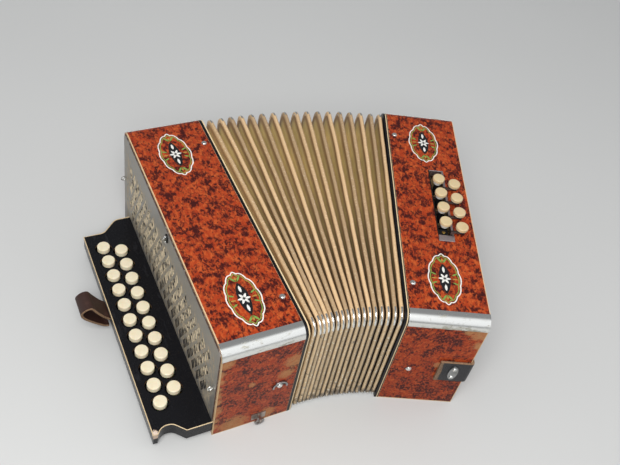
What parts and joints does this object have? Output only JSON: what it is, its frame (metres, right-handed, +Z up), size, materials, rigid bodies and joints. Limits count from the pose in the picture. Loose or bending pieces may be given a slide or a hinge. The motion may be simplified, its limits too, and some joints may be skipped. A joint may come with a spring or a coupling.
{
  "type": "button accordion",
  "caption": "Small diatonic button accordion lying on its back with its bellows fanned open; keys, air button and bellows move.",
  "frame": {"origin": "middle of the treble casing's back face, which rests on the ground", "axes": "+Z up out of the front, +X along the bellows from the treble end to the bass end, +Y to the top of the instrument"},
  "size_m": [0.4335, 0.3295, 0.1416],
  "materials": {
    "casing": "wood covered in glossy orange-red burl celluloid",
    "chrome": "polished chromed steel",
    "frame_black": "wood with glossy black lacquer and a thin pale line",
    "grille": "satin sheet aluminium",
    "fingerboard": "wood with glossy black lacquer",
    "plain_wood": "bare softwood",
    "key": "cream plastic buttons on wooden levers",
    "bass_key": "cream plastic buttons on grey metal levers",
    "steel": "plain steel wire and sheet",
    "brass": "dull brass",
    "leather": "dark brown leather, worn",
    "bellows": "folded card covered in gold-tan paper and cloth tape",
    "air": "cream plastic button on a metal rod"
  },
  "bodies": {
    "treble_end": {"bellows_corners": "chrome", "bellows_folds": "bellows", "fingerboard": "fingerboard", "fingerboard_base": "fingerboard", "grille_fixings": "steel", "strap_ring_bracket": "steel", "thumb_strap": "leather", "treble_bellows_frame": "frame_black", "treble_casing": "casing", "treble_corner_trims": "chrome", "treble_grille": "grille", "treble_key_axle": "steel", "treble_key_springs": "steel", "treble_reed_blocks": "plain_wood", "treble_soundboard": "plain_wood", "treble_studs": "brass"},
    "bass_end": {"bass_bellows_frame": "frame_black", "bass_casing": "casing", "bass_corner_trims": "chrome", "bass_end_cover": "fingerboard", "bass_key_axle": "steel", "bass_key_channel": "steel", "bass_reed_block": "plain_wood", "bass_soundboard": "plain_wood", "bass_studs": "brass", "hand_strap": "leather", "hand_strap_plates": "steel"},
    "treble_key_01": {"treble_key_01": "key"},
    "treble_key_02": {"treble_key_02": "key"},
    "treble_key_03": {"treble_key_03": "key"},
    "treble_key_04": {"treble_key_04": "key"},
    "treble_key_05": {"treble_key_05": "key"},
    "treble_key_06": {"treble_key_06": "key"},
    "treble_key_07": {"treble_key_07": "key"},
    "treble_key_08": {"treble_key_08": "key"},
    "treble_key_09": {"treble_key_09": "key"},
    "treble_key_10": {"treble_key_10": "key"},
    "treble_key_11": {"treble_key_11": "key"},
    "treble_key_12": {"treble_key_12": "key"},
    "treble_key_13": {"treble_key_13": "key"},
    "treble_key_14": {"treble_key_14": "key"},
    "treble_key_15": {"treble_key_15": "key"},
    "treble_key_16": {"treble_key_16": "key"},
    "treble_key_17": {"treble_key_17": "key"},
    "treble_key_18": {"treble_key_18": "key"},
    "treble_key_19": {"treble_key_19": "key"},
    "treble_key_20": {"treble_key_20": "key"},
    "treble_key_21": {"treble_key_21": "key"},
    "bass_key_1": {"bass_key_1": "bass_key"},
    "bass_key_2": {"bass_key_2": "bass_key"},
    "bass_key_3": {"bass_key_3": "bass_key"},
    "bass_key_4": {"bass_key_4": "bass_key"},
    "bass_key_5": {"bass_key_5": "bass_key"},
    "bass_key_6": {"bass_key_6": "bass_key"},
    "bass_key_7": {"bass_key_7": "bass_key"},
    "bass_key_8": {"bass_key_8": "bass_key"},
    "air_button": {"air_button": "air"},
    "strap_ring": {"strap_ring": "steel"}
  },
  "joints": [
    {"name": "bellows_fan", "type": "hinge", "parent": "treble_end", "child": "bass_end", "pos_m": [0.08558, -0.17786, 0.066], "axis": [0, 0, -1], "range_deg": [-23.6, 18], "deforming": ["bellows_folds", "bellows_corners"]},
    {"name": "treble_key_01_press", "type": "hinge", "parent": "treble_end", "child": "treble_key_01", "pos_m": [-0.0315, 0.0859, 0.01525], "axis": [0, -1, 0], "range_deg": [0, 4.14], "stiffness_Nm_per_rad": 0.2, "springref_deg": -9.74},
    {"name": "treble_key_02_press", "type": "hinge", "parent": "treble_end", "child": "treble_key_02", "pos_m": [-0.0315, 0.0774, 0.01525], "axis": [0, -1, 0], "range_deg": [0, 6.54], "stiffness_Nm_per_rad": 0.2, "springref_deg": -9.74},
    {"name": "treble_key_03_press", "type": "hinge", "parent": "treble_end", "child": "treble_key_03", "pos_m": [-0.0315, 0.0668, 0.01525], "axis": [0, -1, 0], "range_deg": [0, 4.14], "stiffness_Nm_per_rad": 0.2, "springref_deg": -9.74},
    {"name": "treble_key_04_press", "type": "hinge", "parent": "treble_end", "child": "treble_key_04", "pos_m": [-0.0315, 0.0583, 0.01525], "axis": [0, -1, 0], "range_deg": [0, 6.54], "stiffness_Nm_per_rad": 0.2, "springref_deg": -9.74},
    {"name": "treble_key_05_press", "type": "hinge", "parent": "treble_end", "child": "treble_key_05", "pos_m": [-0.0315, 0.0477, 0.01525], "axis": [0, -1, 0], "range_deg": [0, 4.14], "stiffness_Nm_per_rad": 0.2, "springref_deg": -9.74},
    {"name": "treble_key_06_press", "type": "hinge", "parent": "treble_end", "child": "treble_key_06", "pos_m": [-0.0315, 0.0392, 0.01525], "axis": [0, -1, 0], "range_deg": [0, 6.54], "stiffness_Nm_per_rad": 0.2, "springref_deg": -9.74},
    {"name": "treble_key_07_press", "type": "hinge", "parent": "treble_end", "child": "treble_key_07", "pos_m": [-0.0315, 0.0286, 0.01525], "axis": [0, -1, 0], "range_deg": [0, 4.14], "stiffness_Nm_per_rad": 0.2, "springref_deg": -9.74},
    {"name": "treble_key_08_press", "type": "hinge", "parent": "treble_end", "child": "treble_key_08", "pos_m": [-0.0315, 0.0201, 0.01525], "axis": [0, -1, 0], "range_deg": [0, 6.54], "stiffness_Nm_per_rad": 0.2, "springref_deg": -9.74},
    {"name": "treble_key_09_press", "type": "hinge", "parent": "treble_end", "child": "treble_key_09", "pos_m": [-0.0315, 0.0095, 0.01525], "axis": [0, -1, 0], "range_deg": [0, 4.14], "stiffness_Nm_per_rad": 0.2, "springref_deg": -9.74},
    {"name": "treble_key_10_press", "type": "hinge", "parent": "treble_end", "child": "treble_key_10", "pos_m": [-0.0315, 0.001, 0.01525], "axis": [0, -1, 0], "range_deg": [0, 6.54], "stiffness_Nm_per_rad": 0.2, "springref_deg": -9.74},
    {"name": "treble_key_11_press", "type": "hinge", "parent": "treble_end", "child": "treble_key_11", "pos_m": [-0.0315, -0.0096, 0.01525], "axis": [0, -1, 0], "range_deg": [0, 4.14], "stiffness_Nm_per_rad": 0.2, "springref_deg": -9.74},
    {"name": "treble_key_12_press", "type": "hinge", "parent": "treble_end", "child": "treble_key_12", "pos_m": [-0.0315, -0.0181, 0.01525], "axis": [0, -1, 0], "range_deg": [0, 6.54], "stiffness_Nm_per_rad": 0.2, "springref_deg": -9.74},
    {"name": "treble_key_13_press", "type": "hinge", "parent": "treble_end", "child": "treble_key_13", "pos_m": [-0.0315, -0.0287, 0.01525], "axis": [0, -1, 0], "range_deg": [0, 4.14], "stiffness_Nm_per_rad": 0.2, "springref_deg": -9.74},
    {"name": "treble_key_14_press", "type": "hinge", "parent": "treble_end", "child": "treble_key_14", "pos_m": [-0.0315, -0.0372, 0.01525], "axis": [0, -1, 0], "range_deg": [0, 6.54], "stiffness_Nm_per_rad": 0.2, "springref_deg": -9.74},
    {"name": "treble_key_15_press", "type": "hinge", "parent": "treble_end", "child": "treble_key_15", "pos_m": [-0.0315, -0.0478, 0.01525], "axis": [0, -1, 0], "range_deg": [0, 4.14], "stiffness_Nm_per_rad": 0.2, "springref_deg": -9.74},
    {"name": "treble_key_16_press", "type": "hinge", "parent": "treble_end", "child": "treble_key_16", "pos_m": [-0.0315, -0.0563, 0.01525], "axis": [0, -1, 0], "range_deg": [0, 6.54], "stiffness_Nm_per_rad": 0.2, "springref_deg": -9.74},
    {"name": "treble_key_17_press", "type": "hinge", "parent": "treble_end", "child": "treble_key_17", "pos_m": [-0.0315, -0.0669, 0.01525], "axis": [0, -1, 0], "range_deg": [0, 4.14], "stiffness_Nm_per_rad": 0.2, "springref_deg": -9.74},
    {"name": "treble_key_18_press", "type": "hinge", "parent": "treble_end", "child": "treble_key_18", "pos_m": [-0.0315, -0.0754, 0.01525], "axis": [0, -1, 0], "range_deg": [0, 6.54], "stiffness_Nm_per_rad": 0.2, "springref_deg": -9.74},
    {"name": "treble_key_19_press", "type": "hinge", "parent": "treble_end", "child": "treble_key_19", "pos_m": [-0.0315, -0.086, 0.01525], "axis": [0, -1, 0], "range_deg": [0, 4.14], "stiffness_Nm_per_rad": 0.2, "springref_deg": -9.74},
    {"name": "treble_key_20_press", "type": "hinge", "parent": "treble_end", "child": "treble_key_20", "pos_m": [-0.0315, -0.0945, 0.01525], "axis": [0, -1, 0], "range_deg": [0, 6.54], "stiffness_Nm_per_rad": 0.2, "springref_deg": -9.74},
    {"name": "treble_key_21_press", "type": "hinge", "parent": "treble_end", "child": "treble_key_21", "pos_m": [-0.0315, -0.1051, 0.01525], "axis": [0, -1, 0], "range_deg": [0, 4.14], "stiffness_Nm_per_rad": 0.2, "springref_deg": -9.74},
    {"name": "bass_key_1_press", "type": "hinge", "parent": "bass_end", "child": "bass_key_1", "pos_m": [0.21073, -0.00461, 0.12], "axis": [0.4003, 0.9164, 0], "range_deg": [0, 5.74], "stiffness_Nm_per_rad": 0.2, "springref_deg": -9.74},
    {"name": "bass_key_2_press", "type": "hinge", "parent": "bass_end", "child": "bass_key_2", "pos_m": [0.20292, -0.02248, 0.12], "axis": [0.4003, 0.9164, 0], "range_deg": [0, 5.74], "stiffness_Nm_per_rad": 0.2, "springref_deg": -9.74},
    {"name": "bass_key_3_press", "type": "hinge", "parent": "bass_end", "child": "bass_key_3", "pos_m": [0.19511, -0.04035, 0.12], "axis": [0.4003, 0.9164, 0], "range_deg": [0, 5.74], "stiffness_Nm_per_rad": 0.2, "springref_deg": -9.74},
    {"name": "bass_key_4_press", "type": "hinge", "parent": "bass_end", "child": "bass_key_4", "pos_m": [0.18731, -0.05822, 0.12], "axis": [0.4003, 0.9164, 0], "range_deg": [0, 5.74], "stiffness_Nm_per_rad": 0.2, "springref_deg": -9.74},
    {"name": "bass_key_5_press", "type": "hinge", "parent": "bass_end", "child": "bass_key_5", "pos_m": [0.20682, -0.01355, 0.12], "axis": [0.4003, 0.9164, 0], "range_deg": [0, 3.8], "stiffness_Nm_per_rad": 0.2, "springref_deg": -9.74},
    {"name": "bass_key_6_press", "type": "hinge", "parent": "bass_end", "child": "bass_key_6", "pos_m": [0.19902, -0.03142, 0.12], "axis": [0.4003, 0.9164, 0], "range_deg": [0, 3.8], "stiffness_Nm_per_rad": 0.2, "springref_deg": -9.74},
    {"name": "bass_key_7_press", "type": "hinge", "parent": "bass_end", "child": "bass_key_7", "pos_m": [0.19121, -0.04929, 0.12], "axis": [0.4003, 0.9164, 0], "range_deg": [0, 3.8], "stiffness_Nm_per_rad": 0.2, "springref_deg": -9.74},
    {"name": "bass_key_8_press", "type": "hinge", "parent": "bass_end", "child": "bass_key_8", "pos_m": [0.1834, -0.06716, 0.12], "axis": [0.4003, 0.9164, 0], "range_deg": [0, 3.8], "stiffness_Nm_per_rad": 0.2, "springref_deg": -9.74},
    {"name": "air_button_push", "type": "slide", "parent": "bass_end", "child": "air_button", "axis": [-0.9164, 0.4003, 0], "range_m": [0, 0.006], "stiffness_N_per_m": 150, "springref_m": -0.008},
    {"name": "strap_ring_swing", "type": "hinge", "parent": "treble_end", "child": "strap_ring", "pos_m": [0.007, -0.1446, 0.011], "axis": [-1, 0, 0], "range_deg": [-10, 100]}
  ]
}
